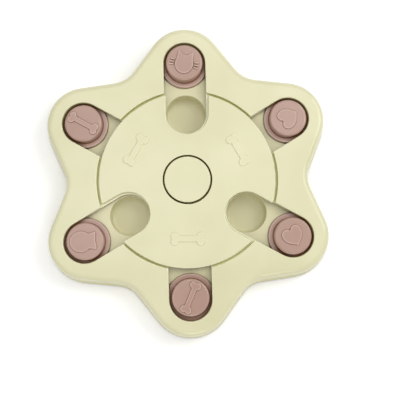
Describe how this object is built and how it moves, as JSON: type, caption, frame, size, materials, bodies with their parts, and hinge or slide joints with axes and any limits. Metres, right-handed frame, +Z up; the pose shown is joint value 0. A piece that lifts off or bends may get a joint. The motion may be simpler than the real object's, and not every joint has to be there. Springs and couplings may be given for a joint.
{
  "type": "dog puzzle feeder toy",
  "caption": "Star-shaped treat board: round pucks slide in from the lobes to cover the wells, past a notched turntable that gates them.",
  "frame": {"origin": "on the table, under the turntable's axis, which is the middle of the board", "axes": "+Z up along the turntable's axis, +Y to the top lobe, along the longest extent"},
  "size_m": [0.2482, 0.2754, 0.0299],
  "materials": {
    "cream_gloss": "glossy cream polypropylene",
    "cream_tray": "satin cream polypropylene",
    "mauve_plastic": "satin dusty mauve polypropylene",
    "natural_nylon": "plain moulded nylon",
    "screw_steel": "zinc-plated steel",
    "grey_rubber": "moulded grey rubber"
  },
  "bodies": {
    "board": {"star_cover": "cream_gloss", "base_tray": "cream_tray", "hub_bush": "natural_nylon", "hub_cap": "cream_gloss", "hub_washer": "screw_steel", "hub_screw": "screw_steel", "case_screws": "screw_steel", "foot_top": "grey_rubber", "foot_upper_left": "grey_rubber", "foot_lower_left": "grey_rubber", "foot_bottom": "grey_rubber", "foot_lower_right": "grey_rubber", "foot_upper_right": "grey_rubber"},
    "turntable": {"turntable": "cream_gloss"},
    "puck_top": {"slider_top": "mauve_plastic"},
    "puck_upper_left": {"slider_upper_left": "mauve_plastic"},
    "puck_lower_left": {"slider_lower_left": "mauve_plastic"},
    "puck_bottom": {"slider_bottom": "mauve_plastic"},
    "puck_lower_right": {"slider_lower_right": "mauve_plastic"},
    "puck_upper_right": {"slider_upper_right": "mauve_plastic"}
  },
  "joints": [
    {"name": "turntable_turn", "type": "hinge", "parent": "board", "child": "turntable", "pos_m": [0, 0, 0.0236], "axis": [0, 0, 1], "range_deg": [-360, 360]},
    {"name": "slide_top", "type": "slide", "parent": "board", "child": "puck_top", "axis": [0, -1, 0], "range_m": [0, 0.0442]},
    {"name": "slide_upper_left", "type": "slide", "parent": "board", "child": "puck_upper_left", "axis": [0.866, -0.5, 0], "range_m": [-0.0004, 0.0094]},
    {"name": "slide_lower_left", "type": "slide", "parent": "board", "child": "puck_lower_left", "axis": [0.866, 0.5, 0], "range_m": [-0.0007, 0.0435]},
    {"name": "slide_bottom", "type": "slide", "parent": "board", "child": "puck_bottom", "axis": [0, 1, 0], "range_m": [-0.0017, 0.0081]},
    {"name": "slide_lower_right", "type": "slide", "parent": "board", "child": "puck_lower_right", "axis": [-0.866, 0.5, 0], "range_m": [0, 0.0442]},
    {"name": "slide_upper_right", "type": "slide", "parent": "board", "child": "puck_upper_right", "axis": [-0.866, -0.5, 0], "range_m": [0, 0.0098]}
  ]
}
